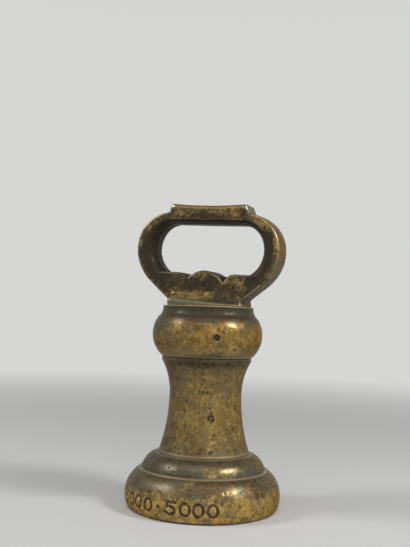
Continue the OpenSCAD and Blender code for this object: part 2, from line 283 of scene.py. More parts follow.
def take_back(*holders):
    """The first object with its modifier applied, as a bmesh. Removes the objects."""
    worked = holders[0].evaluated_get(bpy.context.evaluated_depsgraph_get())
    bm = bmesh.new()
    bm.from_mesh(worked.to_mesh())
    for holder in holders:
        mesh = holder.data
        bpy.data.objects.remove(holder)
        bpy.data.meshes.remove(mesh)
    return bm


def melt_together(parts, voxel):
    """One skin round several closed solids, as a casting has."""
    whole = bmesh.new()
    for part in parts:
        mesh = mesh_of("part", part)
        whole.from_mesh(mesh)
        bpy.data.meshes.remove(mesh)
    holder = add_object("whole", mesh_of("whole", whole))
    remesh = holder.modifiers.new("skin", "REMESH")
    remesh.mode = "VOXEL"
    remesh.voxel_size = voxel * MM
    return take_back(holder)


def carve(bm, cutter):
    """Takes the cutter's solid away from a closed solid."""
    body = add_object("body", mesh_of("body", bm))
    tool = add_object("tool", mesh_of("tool", cutter))
    cut = body.modifiers.new("cut", "BOOLEAN")
    cut.operation = "DIFFERENCE"
    cut.solver = "EXACT"
    cut.object = tool
    return take_back(body, tool)


def spin_profile(points, steps):
    """Turns a closed profile of (r, z) points about the axis."""
    bm = bmesh.new()
    verts = [bm.verts.new(mm(r, 0, z)) for r, z in points]
    edges = [bm.edges.new(ends) for ends in zip(verts, verts[1:] + verts[:1])]
    bmesh.ops.spin(bm, geom=verts + edges, cent=(0, 0, 0), axis=(0, 0, 1), angle=2 * pi,
                   steps=steps // COARSE, use_merge=True)
    bmesh.ops.remove_doubles(bm, verts=bm.verts, dist=1e-7)
    bmesh.ops.recalc_face_normals(bm, faces=bm.faces)
    return bm


def loft(rings):
    """Closed solid through a row of rings with as many points each."""
    bm = bmesh.new()
    rows = [[bm.verts.new(point) for point in ring] for ring in rings]
    for near, far in zip(rows, rows[1:]):
        for corners in zip(near, near[1:] + near[:1], far[1:] + far[:1], far):
            bm.faces.new(corners)
    bm.faces.new(rows[0])
    bm.faces.new(rows[-1])
    bmesh.ops.recalc_face_normals(bm, faces=bm.faces)
    return bm


def circle(centre, side, other, radius, count):
    """Circle of points in the plane of two directions."""
    turns = [2 * pi * i / count for i in range(count)]
    return [(centre + (side * cos(a) + other * sin(a)) * radius) * MM for a in turns]


def base_profile():
    """The base: plug bore, spigot bore, top, rolled side, foot, dish and recess."""
    roll_r = BASE_R - BASE_ROLL
    top = degrees(asin((BASE_TOP - BASE_BELLY_Z) / BASE_ROLL))
    foot = degrees(asin((BASE_EDGE - BASE_BELLY_Z) / BASE_ROLL))
    foot_r = roll_r + sqrt(BASE_ROLL ** 2 - BASE_BELLY_Z ** 2) - BASE_EDGE
    roll = arc(roll_r, BASE_BELLY_Z, BASE_ROLL, top, foot, 62)
    dish, lip = (DISH_R, DISH_DEPTH), (RECESS_R + RECESS_EDGE, DISH_DEPTH)
    points = [(PLUG_BORE_R, PLUG_FOOT), (PLUG_BORE_R, SPIGOT_FOOT), (FOOT_BORE_R, SPIGOT_FOOT),
              (FOOT_BORE_R, BASE_TOP)]
    points += line(points[-1], roll[0], 8)[:-1] + roll
    points += line(roll[-1], (foot_r, 0), 4) + line((foot_r, 0), (DISH_R + 1, 0), 6)
    points += line(points[-1], dish, 2) + line(dish, lip, 14)
    points += line(lip, (RECESS_R, DISH_DEPTH + RECESS_EDGE), 2) + line(lip, (RECESS_R, PLUG_FOOT), 4)
    return points


def ring_profile():
    """The foot ring, with one rounded side."""
    start, end = (RING_R, BASE_TOP), (STEM_FOOT_R, RING_TOP)
    chord = Vector(end) - Vector(start)
    side = Vector((-chord.y, chord.x)).normalized()
    centre = (Vector(start) + Vector(end)) / 2 + side * sqrt(RING_ROUND ** 2 - (chord.length / 2) ** 2)
    first, last = (degrees(atan2(z - centre.y, r - centre.x)) for r, z in (start, end))
    turn = (last - first + 180) % 360 - 180
    rounded = arc(centre.x, centre.y, RING_ROUND, first, first + turn, 26)
    return [(FOOT_BORE_R, BASE_TOP), (RING_R - 4, BASE_TOP)] + rounded + [(FOOT_BORE_R, RING_TOP)]


def column_profile():
    """The column: lower spigot, foot, waist, collar and upper spigot."""
    lower_r = (WAIST_Z - RING_TOP) ** 2 / (2 * (STEM_FOOT_R - WAIST_R)) + (STEM_FOOT_R - WAIST_R) / 2
    rise = COLLAR_R - COLLAR_STEP - WAIST_R
    upper_r = (COLLAR_Z - WAIST_Z) ** 2 / (2 * rise) + rise / 2
    quirk_z = RING_TOP + QUIRK
    foot = degrees(asin((quirk_z - WAIST_Z) / lower_r))
    head = degrees(asin((COLLAR_Z - WAIST_Z) / upper_r))
    collar = (COLLAR_R, COLLAR_Z + 0.3)
    head_z = BULB_FOOT + HEAD_SPIGOT_RISE
    points = [(CORE_BORE_R, SPIGOT_FOOT), (FOOT_SPIGOT_R, SPIGOT_FOOT), (FOOT_SPIGOT_R, RING_TOP),
              (STEM_FOOT_R - QUIRK, RING_TOP), (STEM_FOOT_R - QUIRK, quirk_z - 0.1)]
    points += arc(WAIST_R + lower_r, WAIST_Z, lower_r, -180 - foot, -180, 60)
    points += arc(WAIST_R + upper_r, WAIST_Z, upper_r, 180, 180 - head, 34)[1:]
    points += line(points[-1], collar, 2) + line(collar, (COLLAR_R, BULB_FOOT - QUIRK), 5)
    points += [(COLLAR_R - QUIRK, BULB_FOOT - QUIRK + 0.1), (COLLAR_R - QUIRK, BULB_FOOT),
               (HEAD_SPIGOT_R, BULB_FOOT), (HEAD_SPIGOT_R, head_z), (CORE_BORE_R, head_z)]
    return points


def bulb_profile():
    """The bulb: underside, round belly, crease, hollow neck and lip."""
    belly_r = BULB_R - BULB_ROLL
    foot = degrees(asin((BULB_FOOT - BULB_BELLY_Z) / BULB_ROLL))
    crease = degrees(asin((BULB_CREASE_Z - BULB_BELLY_Z) / BULB_ROLL))
    belly = arc(belly_r, BULB_BELLY_Z, BULB_ROLL, foot, crease, 76)
    rise, run = NECK_Z - BULB_CREASE_Z, belly[-1][0] - NECK_R
    hollow_r = (rise * rise + run * run) / (2 * run)
    hollow_end = degrees(asin((BULB_CREASE_Z - NECK_Z) / hollow_r))
    hollow = arc(NECK_R + hollow_r, NECK_Z, hollow_r, -180 - hollow_end, -180, 12)
    neck, inner_z = hollow[-1], BULB_FOOT + HEAD_BORE_RISE
    points = [(HEAD_BORE_R, BULB_FOOT), (belly[0][0] - 3, BULB_FOOT)] + belly + hollow[1:]
    points += line(neck, (NECK_R, BULB_TOP - NECK_EDGE), 3) + line(neck, (NECK_R - NECK_EDGE, BULB_TOP), 2)
    points += line(points[-1], (HANDLE_BORE_R, BULB_TOP), 12)
    return points + [(HANDLE_BORE_R, inner_z), (HEAD_BORE_R, inner_z)]


def plug_profile():
    """The adjusting plug, with a chamfer at its foot and a centre mark."""
    flat, edge = (PLUG_R - PLUG_CHAMFER, PLUG_FOOT), (PLUG_R, PLUG_FOOT + PLUG_CHAMFER)
    return ([(0.4, PLUG_FOOT + 0.5), (0.9, PLUG_FOOT)] + line((0.9, PLUG_FOOT), flat, 12)
            + line(flat, edge, 3) + line(edge, (PLUG_R, PLUG_TOP), 30) + [(0.4, PLUG_TOP)])


def float_layer(bm, name):
    """The named float layer on a bmesh's vertices."""
    return bm.verts.layers.float.get(name) or bm.verts.layers.float.new(name)


def painted(bm, name, share_at):
    """Fills one of the layers from share_at(vertex), 0 to 1: rubbed metal with painted highlights, tarnish
    with painted shade, dust with painted reflections.
    """
    layer = float_layer(bm, name)
    bm.normal_update()
    for vert in bm.verts:
        vert[layer] = share_at(vert)


def press_in(bm, depth_at):
    """Moves each vertex inwards along its normal by depth_at(vertex), in millimetres."""
    bm.normal_update()
    moves = [(vert, vert.normal * -depth_at(vert) * MM) for vert in bm.verts]
    for vert, move in moves:
        vert.co += move


def worn_surface(bm, seed, hollow, size, visible):
    """Shallow hollows of two sizes, where visible(vertex) says so."""
    offset = Vector((seed * 7.1, seed * 3.7, seed * 5.3))

    def depth(vert):
        if not visible(vert):
            return 0.0
        spot = vert.co / MM
        broad = noise.noise(spot / size + offset)
        fine = noise.noise(spot / (size * 0.22) - offset)
        return hollow * (0.7 * (broad + 0.6) + 0.25 * (fine + 0.6))

    press_in(bm, depth)


def scatter(bm, seed, count, smallest, largest, visible):
    """Random round places on the faces that show: a tree of their centres, and their radii."""
    chance = random.Random(seed)
    faces = [face for face in bm.faces if all(visible(vert) for vert in face.verts)]
    faces.sort(key=lambda face: [round(part / MM, 2) for part in face.calc_center_median().zxy])
    areas = [round(face.calc_area() / MM ** 2, 3) for face in faces]
    centres = KDTree(count)
    radii = []
    for index, face in enumerate(chance.choices(faces, weights=areas, k=count)):
        centres.insert(face.calc_center_median(), index)
        radii.append(smallest + (largest - smallest) * chance.random() ** 3)
    centres.balance()
    return centres, radii


def round_depth(vert, centres, radii, largest, steepness):
    """How deep a vertex lies in the nearest ragged round place, from 0 at its rim to 1."""
    deepest = 0.0
    for _, index, distance in centres.find_range(vert.co, largest * 1.3 * MM):
        ragged = 1 + 0.8 * noise.noise(vert.co / MM * 0.8 + Vector((index, 0, 0)))
        inside = 1 - distance / MM / (radii[index] * ragged)
        deepest = max(deepest, min(1.0, inside * steepness) * min(1.0, 0.3 + radii[index] / largest))
    return deepest


def pitted(bm, seed, count, largest, deepest, visible):
    """Corrosion pits, whose depth is kept in the layer grime."""
    grime = float_layer(bm, "grime")
    centres, radii = scatter(bm, seed, count, 0.3, largest, visible)

    def depth(vert):
        inside = round_depth(vert, centres, radii, largest, 1.5)
        vert[grime] = max(vert[grime], inside * 0.7)
        return inside * deepest

    press_in(bm, depth)


def stained(bm, seed, count, visible, marks=()):
    """Layer stain: soft brown spots, at random and at marks."""
    stain = float_layer(bm, "stain")
    centres, radii = scatter(bm, seed, count, 0.35, STAIN_R, visible)
    for vert in bm.verts:
        spot = round_depth(vert, centres, radii, STAIN_R, 1.6)
        for azimuth, level, size, strength in marks:
            rise = height_of(vert) - level
            if abs(rise) < size * 1.6:
                along = radians(azimuth_off(vert, azimuth)) * radius_of(vert)
                ragged = 1 + 0.5 * noise.noise(vert.co / MM * 0.7)
                away = hypot(along, rise) / (size * ragged)
                spot = max(spot, strength * (1 - smooth_step(away, 0.4, 1.1)))
        vert[stain] = spot


def mark_wear(bm):
    """Layer wear: how far each vertex stands out of its surroundings, 0.5 where it is level."""
    wear_and_highlight = float_layer(bm, "wear_and_highlight")
    bm.verts.index_update()
    place = np.array([vert.co for vert in bm.verts])
    pairs = np.array([[edge.verts[0].index, edge.verts[1].index] for edge in bm.edges])
    links = np.bincount(pairs.ravel(), minlength=len(place))[:, None]
    smooth = place
    for _ in range(8):
        total = np.zeros_like(smooth)
        for axis in range(3):
            total[:, axis] = (np.bincount(pairs[:, 0], smooth[pairs[:, 1], axis], len(place))
                              + np.bincount(pairs[:, 1], smooth[pairs[:, 0], axis], len(place)))
        smooth = total / links
    bm.normal_update()
    normals = np.array([vert.normal for vert in bm.verts])
    proud = ((place - smooth) * normals).sum(1) / MM
    for vert, value in zip(bm.verts, np.clip(0.5 + proud * 1.2, 0, 1)):
        vert[wear_and_highlight] = value


def finish_surface(bm, seed, pits, stains, visible, hollow, size, largest=1.1, deepest=0.3, marks=()):
    """Wears a piece: hollows, pits, stains, and the layer wear on its proud edges."""
    worn_surface(bm, seed, hollow, size, visible)
    pitted(bm, seed, pits, largest, deepest, visible)
    stained(bm, seed + 100, stains, visible, marks)
    mark_wear(bm)


def radial_dent(bm, radius, z, depth, rim):
    """A round sunk place on a turned piece, at a height and at the lock pin's azimuth."""
    grime = float_layer(bm, "grime")
    centre_r = max(hypot(vert.co.x, vert.co.y) for vert in bm.verts if abs(height_of(vert) - z) < 0.6)
    centre = Vector((centre_r * cos(PIN_ANGLE), centre_r * sin(PIN_ANGLE), z * MM))

    def sink(vert):
        away = (vert.co - centre).length / MM
        inside = max(0.0, min(1.0, (radius + rim - away) / rim))
        vert[grime] = max(vert[grime], min(1.0, inside + (0.8 if away < radius + rim + 0.3 else 0)))
        return depth * inside

    press_in(bm, sink)


def oval(width, height, steps=28):
    """Strokes of a nought."""
    points = [Vector((cos(2 * pi * i / steps) * width / 2, sin(2 * pi * i / steps) * height / 2))
              for i in range(steps + 1)]
    return list(zip(points, points[1:]))


def five(width, height):
    """Strokes of a five: a level flag, a short upright and a round bowl."""
    top, left = height / 2, -width / 2
    knee = Vector((left + 0.5, 0.6))
    bowl = [Vector((left + width * 0.46 + 0.54 * width * cos(a), -height * 0.18 + 0.32 * height * sin(a)))
            for a in (radians(142 - 28 * i) for i in range(11))]
    points = [Vector((width / 2, top)), Vector((left + 0.8, top)), knee] + bowl
    return list(zip(points, points[1:]))


def stroke_distance(point, strokes):
    """Distance from a point to the nearest of the strokes."""
    nearest = 1e9
    for start, end in strokes:
        along = end - start
        share = max(0, min(1, (point - start).dot(along) / max(along.dot(along), 1e-9)))
        nearest = min(nearest, (point - start - along * share).length)
    return nearest


def stamp_numerals(bm):
    """Plain numbers punched round the lower band, with a round pellet between them."""
    grime = float_layer(bm, "grime")
    chance = random.Random(11)
    shapes = {"5": five(NUMERAL_WIDTH, NUMERAL_HEIGHT), "0": oval(NUMERAL_WIDTH, NUMERAL_HEIGHT),
              ".": [(Vector((0, 0)), Vector((0.05, 0)))]}
    marks = []
    for index, sign in enumerate(NUMERALS):
        centre = NUMERAL_LAST - NUMERAL_PITCH * (len(NUMERALS) - 1 - index) + chance.uniform(-0.5, 0.5)
        marks.append((centre, chance.uniform(-0.35, 0.35), chance.uniform(-0.07, 0.07), sign))

    def depth(vert):
        z = height_of(vert)
        if abs(z - NUMERAL_Z) > NUMERAL_HEIGHT or radius_of(vert) < BASE_R - 6:
            return 0.0
        for centre, lift, tilt, sign in marks:
            off = azimuth_off(vert, centre)
            if abs(off) > NUMERAL_PITCH * 0.6:
                continue
            point = Matrix.Rotation(tilt, 2) @ Vector((radians(off) * BASE_R, z - NUMERAL_Z - lift))
            half_w = PELLET_R if sign == "." else STROKE_HALF_W
            edge = (stroke_distance(point, shapes[sign]) - half_w) / STROKE_EDGE
            if edge < 1:
                fill = 1 - max(0, edge)
                patchy = 0.75 + 0.5 * noise.noise(vert.co / MM * 0.9)
                vert[grime] = max(vert[grime], fill * min(1, patchy))
                return PUNCH_DEPTH * fill
        return 0.0

    press_in(bm, depth)


def make_base():
    """Base: rolled side, dish, recess and stamped numbers."""
    bm = spin_profile(base_profile(), 720)

    def visible(vert):
        return radius_of(vert) > RING_R - 1 and 0.3 < height_of(vert) < BASE_TOP - 0.05

    worn_surface(bm, 3, 0.16, 18, visible)
    stamp_numerals(bm)
    pitted(bm, 5, 130, 1.1, 0.3, visible)
    stained(bm, 6, 260, visible, BASE_MARKS)
    painted(bm, "rub_and_highlight", lambda vert: hill(height_of(vert), 5, 9))
    # Painted shade on the upper part of the base's left side
    painted(bm, "tarnish_and_shade", lambda vert: 0.3 * shaded_side(vert) * smooth_step(height_of(vert), 8, 20))
    mark_wear(bm)
    piece = new_piece("base", bm, "weight")
    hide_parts("base_drum")
    return piece


def make_ring():
    """Foot ring, with a painted highlight on its front and painted shade at its foot."""
    bm = spin_profile(ring_profile(), 480)
    finish_surface(bm, 8, 60, 120, lambda vert: radius_of(vert) > STEM_FOOT_R - 3, hollow=0.12, size=12)

    # A little rub all round, and a painted highlight low on the ring's front
    def ring_highlight(vert):
        spot = 0.5 * hill(azimuth_of(vert), RING_HIGHLIGHT_ANGLE, 18)
        return 0.12 + spot * hill(height_of(vert), RING_HIGHLIGHT_Z, 4)

    # Painted shade low on the ring, away from the highlight, and on the left side
    def foot_shade(vert):
        away = 1 - hill(azimuth_of(vert), RING_HIGHLIGHT_ANGLE, 22)
        low = smooth_step(BASE_TOP + 6 - height_of(vert), 0, 5) * away
        return max(0.6 * shaded_side(vert), 0.35 * low)

    painted(bm, "rub_and_highlight", ring_highlight)
    painted(bm, "tarnish_and_shade", foot_shade)
    # Painted shade: the pale worn edges are halved below the highlight
    wear_and_highlight = float_layer(bm, "wear_and_highlight")
    for vert in bm.verts:
        vert[wear_and_highlight] = min(vert[wear_and_highlight], 1 - 0.5 * smooth_step(RING_HIGHLIGHT_Z - height_of(vert), 0, 1.5))
    piece = new_piece("ring", bm, "weight")
    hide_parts("foot_ring")
    return piece


def make_column():
    """Column: waisted stem, collar and the small crater that holds the seal."""
    bm = spin_profile(column_profile(), 480)

    def visible(vert):
        return radius_of(vert) > WAIST_R - 0.5 and RING_TOP < height_of(vert) < BULB_FOOT - 0.02

    finish_surface(bm, 14, 170, 380, visible, hollow=0.15, size=17, marks=STEM_MARKS)
    painted(bm, "rub_and_highlight", lambda vert: 0.62 * hill(height_of(vert), 67, 26))
    # Painted shade at the top of the column, under the bulb, and on its left side
    painted(bm, "tarnish_and_shade",
            lambda vert: max(0.75 * smooth_step(height_of(vert), 93.5, 98), 0.3 * shaded_side(vert)))
    radial_dent(bm, SEAL_R, SEAL_Z, 0.7, 0.5)
    piece = new_piece("stem", bm, "weight")
    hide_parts("column")
    return piece


def make_bulb():
    """Bulb: round belly, hollow neck and the sunk end of the lock pin."""
    bm = spin_profile(bulb_profile(), 512)

    def visible(vert):
        return radius_of(vert) > COLLAR_R - 2 and height_of(vert) < BULB_TOP - 0.02

    # Painted shade on the hollow neck under the foot plate, and low on the belly's left side
    def neck_shade(vert):
        z = height_of(vert)
        neck = 0.9 * smooth_step(z, BULB_CREASE_Z - 4.5, BULB_CREASE_Z + 0.5)
        neck *= smooth_step(BULB_TOP - z, 0.1, 0.8)
        return max(neck, 0.6 * shaded_side(vert) * smooth_step(z, BULB_FOOT + 3, BULB_FOOT + 9))

    finish_surface(bm, 21, 70, 120, visible, hollow=0.14, size=17, marks=BELLY_MARKS)
    painted(bm, "rub_and_highlight", lambda vert: hill(height_of(vert), 112, 10))
    painted(bm, "tarnish_and_shade", neck_shade)
    # Painted reflection of the pale floor, as pale colour on the bulb's underside
    painted(bm, "dust_and_reflection", lambda vert: 0.45 * smooth_step(BULB_FOOT + 8.5 - height_of(vert), 0, 6))
    radial_dent(bm, PIN_R + 0.1, PIN_Z, 1.4, 0.5)
    piece = new_piece("belly", bm, "weight")
    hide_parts("bulb")
    return piece


def loop_lines(steps):
    """Pairs of outer and inner points of the loop, from its right foot to its left one."""
    lower_x = LOOP_HALF_W - LOOP_LOWER_R
    upper_x = LOOP_HALF_W - LOOP_UPPER_R
    foot_angle = radians(LOOP_FOOT_ANGLE)
    inner_x = upper_x - 3
    inner_rx = LOOP_HALF_W - STRAP_SIDE - inner_x
    inner_rz = LOOP_UPPER_R - STRAP_TOP
    lower_end = Vector((lower_x + LOOP_LOWER_R * cos(foot_angle), LOOP_Z - LOOP_LOWER_R * sin(foot_angle)))
    run = (lower_end.y - WEB_Z + 2) / cos(foot_angle)
    low_r = LOOP_LOWER_R - STRAP_SIDE

    def on_oval(x, radius_x, radius_z, a):
        return Vector((x + radius_x * cos(a), LOOP_Z + radius_z * sin(a)))

    pairs = []
    for i in range(steps // 3):
        back = run * (1 - i / (steps // 3))
        start = lower_end - Vector((sin(foot_angle), cos(foot_angle))) * back
        pairs.append((start, start + Vector((-cos(foot_angle), sin(foot_angle))) * STRAP_SIDE))
    for i in range(steps):
        a = -foot_angle * (1 - i / steps)
        pairs.append((on_oval(lower_x, LOOP_LOWER_R, LOOP_LOWER_R, a), on_oval(lower_x, low_r, low_r, a)))
    for i in range(steps):
        a = pi / 2 * i / steps
        pairs.append((on_oval(upper_x, LOOP_UPPER_R, LOOP_UPPER_R, a),
                      on_oval(inner_x, inner_rx, inner_rz, a)))
    for i in range(steps // 2 + 1):
        share = 1 - i / (steps // 2)
        pairs.append((Vector((upper_x * share, LOOP_TOP)), Vector((inner_x * share, LOOP_TOP - STRAP_TOP))))
    return pairs + [[Vector((-point.x, point.y)) for point in pair] for pair in pairs[-2::-1]]


def section(half_t, half_d, outer_round):
    """Section of the strap: u outwards and v along Y, with rounded corners and a raised inner band."""
    points = []
    for su, sv, first in CORNERS:
        round_r = min(half_t - 0.3, outer_round if su > 0 else STRAP_FRONT_ROUND if sv < 0 else STRAP_ROUND)
        points += arc(su * (half_t - round_r), sv * (half_d - round_r), round_r, first, first + 90, 7)
        if (su, sv) == (-1, 1):
            high, low = half_d - round_r, -(half_d - min(half_t - 0.3, STRAP_FRONT_ROUND))
            for i in range(1, 16):
                v = high + (low - high) * i / 16
                points.append((-half_t - INNER_BAND * smooth_step(min(high - v, v - low), 0.3, 1.9), v))
    return [(u, v * (1 - STRAP_CROWN / half_d * min(1, abs(u) / half_t) ** 2)) for u, v in points]


def loop_solid():
    """The strap bent into the loop, its corners rounder towards its feet."""
    rings = []
    for out_point, in_point in loop_lines(30):
        middle = (out_point + in_point) / 2
        reach = out_point - in_point
        direction = reach.normalized()
        foot = 1 - smooth_step(middle.y, FLOOR_Z - 6, LOOP_Z - 4)
        outline = section(reach.length / 2, STRAP_DEPTH / 2, STRAP_ROUND + STRAP_FOOT_ROUND * foot)
        rings.append([mm(middle.x + direction.x * u, v, middle.y + direction.y * u) for u, v in outline])
    return loft(rings)


def floor_front(x):
    """Height of the scalloped front edge of the opening's floor at x."""
    notch = RIGHT_NOTCH if x > 0 else LEFT_NOTCH
    notch_z = HUMP_TOP - HUMP_R + sqrt(HUMP_R ** 2 - notch ** 2)
    lobe_x = notch + LOBE_R * cos(asin((notch_z - FLOOR_Z + LOBE_R) / LOBE_R))
    away = abs(x)
    if away < notch:
        return HUMP_TOP - HUMP_R + sqrt(HUMP_R ** 2 - away ** 2)
    if away < lobe_x:
        return FLOOR_Z - LOBE_R + sqrt(max(0.0, LOBE_R ** 2 - (lobe_x - away) ** 2))
    return FLOOR_Z


def floor_middle(x):
    """Height of the floor half way through, where its notches are shallower."""
    return max(floor_front(x), FLOOR_Z - 1.8 + 2.3 * exp(-(x / 9.0) ** 2))


def floor_solid():
    """The web between the arms, scalloped along its front and back edges."""
    half_d = STRAP_DEPTH / 2 - 0.2
    reach = 40
    low = PLATE_LENGTH / 2 - 1
    rings = []
    for j in range(33):
        y = half_d * (2 * j / 32 - 1)
        rise = smooth_step(half_d - abs(y), 0.9, half_d * 0.62)
        edge = 0.7 * (1 - smooth_step(half_d - abs(y), 0, 0.9))
        ring = []
        for i in range(181):
            x = reach * (2 * i / 180 - 1)
            ring.append(mm(x, y, floor_front(x) + (floor_middle(x) - floor_front(x)) * rise - edge))
        ring += [mm(x, y, z) for x, z in ((reach, FLOOR_Z - 8), (low, WEB_Z - 1), (-low, WEB_Z - 1),
                                          (-reach, FLOOR_Z - 8))]
        rings.append(ring)
    return loft(rings)


def grip_solid():
    """The bar on top of the loop: slanting round ends, rounded edges and a worn hollow."""
    rings = []
    half_x, count = GRIP_LENGTH / 2, 80
    low = LOOP_TOP - GRIP_ROOT
    for i in range(count + 1):
        x = half_x * (2 * i / count - 1)
        inset = half_x - abs(x)
        rise = min(1.0, inset / GRIP_SLANT)
        short = max(0.0, 1 - inset / GRIP_END_ROUND)
        half_d = STRAP_DEPTH / 2 + 0.2 - GRIP_END_NARROWING * (1 - sqrt(1 - short ** 2))
        hollow = GRIP_SAG * (1 - (x / (half_x - GRIP_SLANT)) ** 2) if rise >= 1 else 0
        top = LOOP_TOP + 0.2 + (GRIP_HEIGHT - 0.2) * rise - hollow
        round_r = min(GRIP_ROUND, (top - low) / 2)
        ring = [(-half_d, low), (half_d, low)]
        for side, _, first in CORNERS[:2]:
            ring += arc(side * (half_d - round_r), top - round_r, round_r, first, first + 90, 7)
        rings.append([mm(x, y, z) for y, z in ring])
    return loft(rings)


def plate_level(left, right, reach_y, height_at):
    """One level of the foot plate: corners rounder on the right, a height that follows x."""
    ring = []
    for sx, sy, first in CORNERS:
        corner = PLATE_CORNER_RIGHT if sx > 0 else PLATE_CORNER
        middle = right - corner if sx > 0 else corner - left
        ring += arc(middle, sy * (reach_y - corner), corner, first, first + 90, 7)
        if sx == sy:
            start, end = (right - PLATE_CORNER_RIGHT, PLATE_CORNER - left)[::sx]
            ring += line((start, sy * reach_y), (end, sy * reach_y), 12)[:-1]
    return [mm(x, y, height_at(x)) for x, y in ring]


def plate_edge_z(x):
    """Height of the top of the plate's upright edge, which dies away to the right."""
    return PLATE_EDGE_LEFT + (PLATE_EDGE_RIGHT - PLATE_EDGE_LEFT) * (x / PLATE_LENGTH + 0.5)


def plate_solid():
    """Foot plate: an upright edge, then a slope that rises and hollows to the right."""
    half_x, half_y = PLATE_LENGTH / 2, PLATE_DEPTH / 2
    right_x = half_x + PLATE_REACH_RIGHT
    narrowing = half_y - STRAP_DEPTH / 2 + 0.2

    def slope_level(share):
        def height_at(x):
            flare = smooth_step(x, -4, 16)
            rise = WEB_Z + PLATE_SLOPE + 3.5 * flare - plate_edge_z(x)
            return plate_edge_z(x) + 0.2 + rise * (share - 0.14 * sin(pi * share) * flare)

        reach_y = half_y - 0.4 - narrowing * share
        return plate_level(half_x - 0.4 - 2.6 * share, right_x - 0.2, reach_y, height_at)

    levels = [plate_level(half_x - 0.3, right_x - 0.3, half_y - 0.3, lambda x: PLATE_Z),
              plate_level(half_x, right_x, half_y, lambda x: PLATE_Z + 0.3),
              plate_level(half_x, right_x, half_y, lambda x: plate_edge_z(x) - 0.4)]
    return loft(levels + [slope_level(k / 6) for k in range(7)])


def spigot_solid():
    """The spigot under the foot plate, down in the bulb's bore."""
    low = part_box("handle")[0].z / MM
    turns = [2 * pi * i / 64 for i in range(64)]
    return loft([[mm(HANDLE_SPIGOT_R * cos(a), HANDLE_SPIGOT_R * sin(a), z) for a in turns]
                 for z in (low, PLATE_Z + 1)])


def handle_rub_and_highlight(vert):
    """How bright the handle is: rubbed metal, and painted highlights."""
    x, z = vert.co.x / MM, height_of(vert)
    return max(share * hill(x, bright_x, half_x) * hill(z, bright_z, half_z)
               for bright_x, bright_z, half_x, half_z, share in RUBBED_AND_HIGHLIGHT_PLACES)


def handle_tarnish_and_shade(vert):
    """Tarnish and painted shade on the handle: most on the faces that look into the loop, and low on the
    inner half of the arms' fronts.
    """
    x, z = vert.co.x / MM, height_of(vert)
    inward = Vector((-x, 0, LOOP_Z - 2 - z))
    facing = vert.normal.dot(inward.normalized()) if inward.length > 1 else 0.0
    inside = abs(x) < LOOP_HALF_W - 4 and FLOOR_Z - 6 < z < LOOP_TOP - 2
    skin = smooth_step(facing, 0.12, 0.5) if inside else 0.0
    depth_in = hypot((abs(x) - 22) if abs(x) > 22 else 0, z - LOOP_Z)
    inner_front = 1 - smooth_step(depth_in, 23.5, 28)
    return max(skin, 0.7 * inner_front * smooth_step(abs(x), 26, 34) * smooth_step(LOOP_Z + 15 - z, 0, 8))


def handle_dust_and_reflection(vert):
    """Pale dirt on the handle's plate edge, grip ends and grip top, and a painted reflection of the pale
    floor low on the arms.
    """
    x, y, z = vert.co / MM
    if z > LOOP_TOP - 1:
        end = 0.7 * smooth_step(abs(x) - GRIP_LENGTH / 2, -5.5, -4)
        end *= smooth_step(abs(vert.normal.x), 0.25, 0.5)
        return max(end, 0.4 * smooth_step(vert.normal.z, 0.3, 0.5) * smooth_step(abs(y), 6.5, 7.5))
    # Painted reflection of the pale floor on the lower sides of the arms
    if z > PLATE_Z + 1.8 and abs(x) > 20 and abs(y) < STRAP_DEPTH / 2 + 1:
        low = smooth_step(LOOP_Z - 6 - z, 0, 8) * smooth_step(-vert.normal.z, -0.1, 0.3)
        return 0.45 * low * smooth_step(abs(vert.normal.x), 0.3, 0.6)
    front = smooth_step(abs(y), PLATE_DEPTH / 2 - 2, PLATE_DEPTH / 2 - 0.6)
    return smooth_step(plate_edge_z(x) - z, -0.3, 0.5) * front


def make_handle():
    """Handle: loop, which leans, scalloped floor, grip bar and foot plate in one casting."""
    leaning = [loop_solid(), floor_solid(), grip_solid()]
    lean = Matrix.Rotation(radians(LOOP_LEAN), 3, "Y")
    for part in leaning:
        bmesh.ops.rotate(part, verts=part.verts, cent=mm(0, 0, LOOP_Z), matrix=lean)
    bm = melt_together(leaning + [plate_solid(), spigot_solid()], SKIN_VOXEL * COARSE)
    for _ in range(2 // COARSE):
        bmesh.ops.smooth_vert(bm, verts=bm.verts, factor=0.5,
                              use_axis_x=True, use_axis_y=True, use_axis_z=True)
    finish_surface(bm, 31, 200, 300, lambda vert: height_of(vert) > PLATE_Z + 0.3, hollow=0.16, size=14,
                   largest=0.9, deepest=0.22)
    painted(bm, "rub_and_highlight", handle_rub_and_highlight)
    painted(bm, "tarnish_and_shade", handle_tarnish_and_shade)
    painted(bm, "dust_and_reflection", handle_dust_and_reflection)
    wear_and_highlight, rub_and_highlight = float_layer(bm, "wear_and_highlight"), float_layer(bm, "rub_and_highlight")
    # Painted highlight along the grip's rounded top edges, as pale worn metal
    for vert in bm.verts:
        if height_of(vert) > LOOP_TOP + 1 and abs(vert.normal.y) > 0.3:
            grip_edge_highlight = hill(vert.normal.z, 0.2, 0.12)
            vert[wear_and_highlight] = max(vert[wear_and_highlight], 0.5 + 0.5 * grip_edge_highlight)
            vert[rub_and_highlight] = max(vert[rub_and_highlight], grip_edge_highlight)
    piece = new_piece("loop", bm, "weight", smooth_angle=60)
    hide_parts("handle")
    return piece


def rod(radius, start, end):
    """Closed cylinder between two points in millimetres."""
    axis = (Vector(end) - Vector(start)).normalized()
    side = axis.orthogonal().normalized()
    return loft([circle(Vector(point), side, axis.cross(side), radius, 40) for point in (start, end)])


